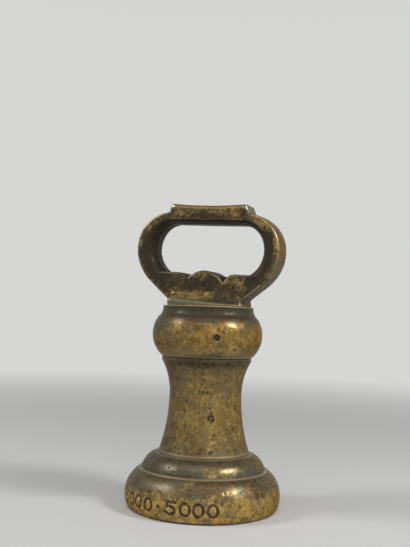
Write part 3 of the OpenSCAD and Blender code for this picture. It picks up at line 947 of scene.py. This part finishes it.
def make_plug():
    """Adjusting plug: a screwed disc with two blind holes for a pin spanner."""
    bm = spin_profile(plug_profile(), 160)

    def thread(vert):
        if radius_of(vert) < PLUG_R - 0.1 or height_of(vert) < PLUG_FOOT + 0.9:
            return 0.0
        turn = (height_of(vert) / THREAD_PITCH - atan2(vert.co.y, vert.co.x) / (2 * pi)) % 1
        return THREAD_DEPTH * abs(2 * turn - 1)

    press_in(bm, thread)
    for x in (-SPANNER_HOLE_X, SPANNER_HOLE_X):
        bm = carve(bm, rod(SPANNER_HOLE_R, (x, 0, PLUG_FOOT - 1), (x, 0, PLUG_FOOT + SPANNER_HOLE_DEPTH)))
    mark_wear(bm)
    piece = new_piece("plug", bm, "plug", smooth_angle=30)
    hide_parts("adjusting_plug")
    return piece


def make_seal():
    """Seal: a soft plug hammered into the stem's crater, slightly domed."""
    head_r = max(radius_of(vert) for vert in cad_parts["seal_plug"].data.vertices)
    direction = Vector((cos(PIN_ANGLE), sin(PIN_ANGLE), 0))
    side = Vector((-direction.y, direction.x, 0))
    up = Vector((0, 0, 1))
    shank_r = SEAL_R - 0.05
    bm = loft([circle(direction * (head_r - back) + up * SEAL_Z, side, up, radius, 32)
               for back, radius in ((4.6, shank_r), (2.5, shank_r), (1.0, shank_r), (0.75, SEAL_R - 0.15),
                                    (0.62, SEAL_R - 0.5), (0.5, SEAL_R - 1.0), (0.45, 0.3))])
    worn_surface(bm, 41, 0.12, 2, lambda vert: True)
    mark_wear(bm)
    piece = new_piece("seal", bm, "weight")
    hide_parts("seal_plug")
    return piece


class Value:
    """A socket of a node, with the sums a shader needs."""

    def __init__(self, shader, socket):
        self.shader = shader
        self.socket = socket

    def sum_with(self, operation, *others):
        return self.shader.node("Math", dict(enumerate((self,) + others)), operation=operation)

    def __add__(self, other):
        return self.sum_with("ADD", other)

    __radd__ = __add__

    def __mul__(self, other):
        return self.sum_with("MULTIPLY", other)

    __rmul__ = __mul__

    def __sub__(self, other):
        return self.sum_with("SUBTRACT", other)

    def __rsub__(self, other):
        return self.shader.node("Math", {0: other, 1: self}, operation="SUBTRACT")

    def clamp(self):
        return self.sum_with("MINIMUM", 1.0).sum_with("MAXIMUM", 0.0)

    def step(self, low, high, start=0.0, end=1.0):
        """From start, below low, smoothly to end, above high."""
        inputs = {"Value": self, "From Min": low, "From Max": high, "To Min": start, "To Max": end}
        return self.shader.node("MapRange", inputs, interpolation_type="SMOOTHSTEP")


class Shader:
    """The node tree of a material or of the world, built through one method."""

    def __init__(self, owner, coordinates="Object"):
        self.owner = owner
        self.owner.use_nodes = True
        self.tree = owner.node_tree
        self.tree.nodes.clear()
        self.place = self.node("TexCoord", {}, coordinates)

    def node(self, kind, inputs, output=0, **settings):
        """Adds a node: its settings first, then each input as a number, colour or link."""
        made = self.tree.nodes.new("ShaderNode" + kind)
        for key, value in settings.items():
            setattr(made, key, value)
        for key, value in inputs.items():
            if isinstance(value, Value):
                self.tree.links.new(value.socket, made.inputs[key])
            else:
                made.inputs[key].default_value = value
        return Value(self, made.outputs[output]) if output is not None else None

    def along(self, axis):
        """The place along one axis."""
        return self.node("SeparateXYZ", {0: self.place}, axis)

    def radius(self):
        """Distance from the axis, in metres."""
        x, y = self.along("X"), self.along("Y")
        return (x * x + y * y).sum_with("SQRT")

    def moved(self, *offset):
        """The place moved aside, so that no two pieces carry the same pattern."""
        return self.node("VectorMath", {0: self.place, 1: offset}, operation="ADD")

    def noise(self, size, detail, rough, twist=0.0, place=None):
        """Noise from 0 to 1 with features about size millimetres wide."""
        return self.node("TexNoise", {"Vector": place or self.place, "Scale": 1 / (size * MM),
                                      "Detail": detail, "Roughness": rough, "Distortion": twist})

    def layer(self, name):
        """A float layer of the mesh."""
        return self.node("Attribute", {}, "Fac", attribute_name=name)

    def mix(self, share, first, second):
        """Colour between two colours."""
        return self.node("Mix", {0: share, 6: first, 7: second}, 2, data_type="RGBA")

    def bump(self, height, distance, strength=1.0):
        """Normal bent by a height from 0 to 1 that stands for distance millimetres."""
        return self.node("Bump", {"Height": height, "Distance": distance * MM, "Strength": strength})

    def seen(self):
        """1 for rays from the camera, and from metal or glass that shows the surroundings."""
        camera, glossy, clear = (self.node("LightPath", {}, f"Is {ray} Ray")
                                 for ray in ("Camera", "Glossy", "Transmission"))
        return camera.sum_with("MAXIMUM", glossy).sum_with("MAXIMUM", clear)

    def finish(self, colour, metallic, rough, normal, coat=0.0):
        """Closes the tree with a Principled surface."""
        surface = self.node("BsdfPrincipled", {
            "Base Color": colour, "Metallic": metallic, "Roughness": rough, "Normal": normal,
            "Specular Tint": SHEEN, "Coat Weight": coat, "Coat Roughness": 0.22})
        self.node("OutputMaterial", {"Surface": surface}, None)
        return self.owner


def tone(red, green, blue):
    """Linear colour from one written as it looks on a screen, 0 to 255."""
    return tuple((value / 255 / 12.92 if value <= 10 else ((value / 255 + 0.055) / 1.055) ** 2.4)
                 for value in (red, green, blue)) + (1.0,)


WHITE = (1.0, 1.0, 1.0, 1.0)
PALE = tone(214, 214, 213)
SHEEN = tone(186, 164, 126)
SOOT = tone(40, 33, 25)
# Pale grey of dust, also used for the painted reflection of the floor
DUST_AND_REFLECTION = tone(136, 134, 114)
# Dark greyish brown of tarnish and of painted shade
TARNISH_AND_SHADE = tone(48, 45, 37)
RIM = tone(214, 196, 156)


def brass(name, colours, seed, bright=0.0, edge=0.4, grain=1.0, shift=(0.72, 1.04), coat=0.2, lines=()):
    """Old brass: rubbed gold, brown, grey and reddish patina, stains, dark pits, pale edges, and the painted
    shade, highlights and floor reflections that its layers carry.
    """
    s = Shader(bpy.data.materials.new(name))
    gold, brown, grey, rust = (tone(*colour) for colour in colours)
    detail = 2 if grain < 1 else 1
    spot = s.moved(seed, seed * 0.7, seed * 1.3)
    other = s.moved(-seed, 0.31, seed * 0.4)
    broad = s.noise(20 * grain, 2, 0.5, 0.5, spot)
    patches = s.noise(9 * grain, 2 + detail, 0.5, 0.7, spot)
    blots = s.noise(3.6 * grain, 3 + detail, 0.6, 0.6, spot)
    speckle = s.noise(1.1, 3, 0.7, 0.0, spot)
    drift = s.noise(12 * grain, 2, 0.5, 0.8, other)
    cloud = s.noise(5 * grain, 3 + detail, 0.6, 0.6, other)
    fleck = s.noise(1.7, 3, 0.65, 0.3, other)
    wear_and_highlight = (s.layer("wear_and_highlight") - 0.5) * 2
    grime, stain, tarnish_and_shade, dust_and_reflection = (s.layer(layer).clamp() for layer in ("grime", "stain", "tarnish_and_shade", "dust_and_reflection"))
    shine = (s.layer("rub_and_highlight") * 0.5 + (broad + patches * 1.4 + blots * 1.2 + fleck * 0.4) * 0.36 + bright
             - tarnish_and_shade * 0.5)
    gold_share = shine.step(*shift)
    base = s.mix((drift + cloud).step(0.88, 1.10), brown, grey)
    base = s.mix((cloud - drift + fleck * 0.4).step(0.16, 0.36) * 0.8, base, rust)
    deep_gold = s.mix(0.55, gold, brown)
    pale_gold = s.mix(0.4, gold, RIM)
    metal = s.mix((cloud + fleck * 0.4).step(0.62, 0.84), gold, deep_gold)
    metal = s.mix((blots - fleck * 0.2 - cloud * 0.3).step(0.24, 0.38) * 0.6, metal, pale_gold)
    colour = s.mix(gold_share, base, metal)
    coats = (
        ((drift * 1.4 - patches * 0.4).step(0.50, 0.66) * 0.5, grey),
        ((speckle + fleck).step(1.08, 1.30) * 0.55, SOOT),
        ((blots + cloud * 0.5).step(0.80, 1.0) * 0.35, SOOT),
        ((1 - speckle).step(0.55, 0.70) * (1 - tarnish_and_shade) * 0.35, pale_gold),
        # Tarnish, and painted shade where the pieces lie in shade
        (tarnish_and_shade * 0.8, TARNISH_AND_SHADE),
        # Pale dust, and the painted reflection of the floor
        (dust_and_reflection * (0.5 + cloud * 0.4), DUST_AND_REFLECTION),
        (stain.step(0.05, 0.85) * 0.6, SOOT),
        # Pale worn edges, and the painted highlight along the grip's edges
        ((wear_and_highlight + (fleck - 0.5) * 0.5).step(0.22, 0.8) * (1 - tarnish_and_shade) * edge, RIM),
        ((wear_and_highlight * -1).step(0.12, 0.5) * 0.6, SOOT),
        (grime.step(0.1, 0.8) * 0.8, SOOT))
    for share, paint in coats:
        colour = s.mix(share, colour, paint)
    dirt = grime.step(0.1, 0.9) * 0.7 + stain * 0.3 + tarnish_and_shade * 0.45 + dust_and_reflection * 0.4
    radius, height = s.radius() * (1 / MM), s.along("Z") * (1 / MM)
    for line_r, line_z, paint in lines:
        out, up = radius - line_r, height - line_z
        near = 1 - ((out * out + up * up).sum_with("SQRT") + (fleck - 0.5) * 0.5).step(0.15, 0.6)
        colour = s.mix(near * 0.75, colour, paint)
        dirt = dirt + near * 0.5
    dull = 1 - gold_share
    roughness = (0.30 + dull * 0.11 + (fleck - 0.5) * 0.2 + (speckle - 0.5) * 0.15 + dirt * 0.3).clamp()
    metallic = (0.9 - dull * 0.3 - dirt * 0.5).clamp()
    relief = patches * 0.4 + blots * 0.35 + speckle * 0.25
    return s.finish(colour, metallic, roughness, s.bump(relief, 0.2, 0.6), coat)


def lead(name, seed, dark=(74, 74, 74), pale=(112, 110, 104)):
    """Dull lead: mid grey with a pale bloom and fine dents."""
    s = Shader(bpy.data.materials.new(name))
    spot = s.moved(seed, 0.3, 0.1)
    bloom = s.noise(1.8, 4, 0.6, 0.2, spot)
    fine = s.noise(0.4, 3, 0.6, 0.0, spot)
    colour = s.mix(bloom.step(0.42, 0.64), tone(*dark), tone(*pale))
    relief = s.bump(bloom * 0.6 + fine * 0.4, 0.15)
    return s.finish(colour, (0.75 - bloom * 0.3).clamp(), (0.42 + fine * 0.2).clamp(), relief)


def leather(name):
    """Oiled leather of the sealing disc."""
    s = Shader(bpy.data.materials.new(name))
    grain = s.node("TexVoronoi", {"Vector": s.place, "Scale": 1 / (0.9 * MM)}, feature="DISTANCE_TO_EDGE")
    stain = s.noise(5, 4, 0.6)
    creases = grain.step(0.0, 0.12)
    colour = s.mix(stain.step(0.35, 0.65), tone(84, 56, 36), tone(56, 38, 26))
    colour = s.mix((1 - creases) * 0.6, colour, tone(34, 24, 18))
    return s.finish(colour, 0.0, (0.72 - stain * 0.2).clamp(), s.bump(creases * 0.7 + stain * 0.3, 0.12))


def make_floor():
    """A wide pale floor that fades into the pale surroundings."""
    bm = bmesh.new()
    bmesh.ops.create_circle(bm, cap_ends=True, segments=64, radius=30)
    bmesh.ops.translate(bm, verts=bm.verts, vec=(0, 0, -0.0001))
    floor = add_object("floor", mesh_of("floor", bm))
    s = Shader(bpy.data.materials.new("floor_paint"))
    paint = s.node("BsdfPrincipled", {"Base Color": PALE, "Roughness": 0.8})
    glow = s.node("Emission", {"Color": PALE, "Strength": 1.0})
    far = s.radius().step(0.25, 1.3)
    mixed = s.node("MixShader", {0: far * s.seen(), 1: paint, 2: glow})
    s.node("OutputMaterial", {"Surface": mixed}, None)
    dress(floor, s.owner)


def light_world():
    """Pale surroundings for the camera and the metal, a softer white for other rays."""
    world = bpy.context.scene.world = bpy.data.worlds.new("studio")
    s = Shader(world, "Generated")
    skies = []
    for colour, low, high, level, overhead in ((WHITE, -0.1, 0.7, 0.55, 0.16), (PALE, 0.35, 0.8, 1.0, 0.25)):
        strength = s.along("Z").step(low, high, level, overhead)
        skies.append(s.node("Background", {"Color": colour, "Strength": strength}))
    mixed = s.node("MixShader", {0: s.seen(), 1: skies[0], 2: skies[1]})
    s.node("OutputWorld", {"Surface": mixed}, None)


def make_lamp(name, direction, distance, width, power):
    """A square soft lamp, aimed at the middle of the weight."""
    data = bpy.data.lights.new(name, "AREA")
    data.shape = "SQUARE"
    data.size = width
    data.energy = power
    lamp = add_object(name, data)
    aim = Vector((0, 0, 0.1))
    lamp.location = aim + Vector(direction).normalized() * distance
    lamp.rotation_euler = (aim - lamp.location).to_track_quat("-Z", "Y").to_euler()


def make_camera(location, azimuth, tilt, roll, lens):
    """The camera, on the right of the front."""
    data = bpy.data.cameras.new("camera")
    data.sensor_width = 36
    data.lens = lens
    camera = add_object("camera", data)
    camera.location = location
    turn = (Matrix.Rotation(radians(azimuth), 3, "Z") @ Matrix.Rotation(radians(tilt), 3, "X")
            @ Matrix.Rotation(radians(roll), 3, "Z"))
    camera.rotation_euler = turn.to_euler()
    bpy.context.scene.camera = camera


def dress(piece, material):
    """Gives a piece one material."""
    piece.data.materials.clear()
    piece.data.materials.append(material)


make_floor()
light_world()
make_lamp("left_lamp", (-0.66, -0.40, 0.63), 1.0, 0.23, 3.3)
make_lamp("right_lamp", (0.75, -0.08, 0.655), 1.0, 0.23, 4.9)
make_lamp("front_lamp", (0.55, -0.73, 0.40), 1.2, 0.4, 0.8)
make_lamp("upper_lamp", (0.10, -0.46, 0.88), 1.0, 0.6, 1.8)

# Turned lines: radius, height and colour. Dust on the two ledges, painted shade in the joint under the bulb,
# and a painted highlight with wear along the neck's lip
BASE_LEDGE = (RING_R + 0.2, BASE_TOP, DUST_AND_REFLECTION)
RING_LEDGE = (STEM_FOOT_R, RING_TOP, DUST_AND_REFLECTION)
UNDER_BULB_SHADE = (COLLAR_R + 0.4, BULB_FOOT, SOOT)
NECK_RIM = (NECK_R - 0.1, BULB_TOP, RIM)

# The colours of each finish are gold, brown, grey and rust
dress(make_base(), brass("base_finish", ((194, 157, 82), (88, 77, 54), (103, 97, 77), (102, 79, 54)),
                         0.11, grain=0.85, lines=(BASE_LEDGE,)))
dress(make_ring(), brass("ring_finish", ((147, 123, 76), (85, 75, 56), (100, 95, 77), (92, 75, 56)),
                         0.23, bright=0.02, grain=0.8, lines=(BASE_LEDGE, RING_LEDGE)))
dress(make_column(), brass("stem_finish", ((150, 125, 63), (96, 79, 49), (111, 99, 70), (94, 72, 49)),
                           0.37, edge=0.25, grain=0.85, lines=(RING_LEDGE, UNDER_BULB_SHADE)))
dress(make_bulb(), brass("belly_finish", ((161, 128, 59), (84, 72, 46), (96, 88, 67), (98, 74, 48)),
                         0.49, grain=0.9, lines=(UNDER_BULB_SHADE, NECK_RIM)))
dress(make_handle(), brass("loop_finish", ((150, 122, 68), (52, 45, 35), (50, 49, 40), (71, 54, 37)),
                           0.71, edge=0.35, grain=0.34, shift=(0.66, 1.08), coat=0.15))
dress(make_plug(), brass("plug_finish", ((172, 142, 84), (100, 84, 58), (112, 104, 86), (108, 82, 58)),
                         0.83, bright=0.1))
dress(make_seal(), lead("seal_finish", 0.2, (84, 68, 54), (112, 92, 74)))

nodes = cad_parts
dress(nodes["lock_pin"], brass("pin_finish", ((118, 98, 62), (70, 58, 42), (84, 80, 70), (86, 64, 46)),
                               0.91))
dress(nodes["lead_core"], lead("core_finish", 0.4))
dress(nodes["adjusting_shot"], lead("shot_finish", 0.6))
dress(nodes["sealing_disc"], leather("disc_finish"))

make_camera((0.1985, -0.4914, 0.1287), 22.3407, 93.2273, 1.947, 50.29)
bpy.context.scene.view_settings.view_transform = "Standard"
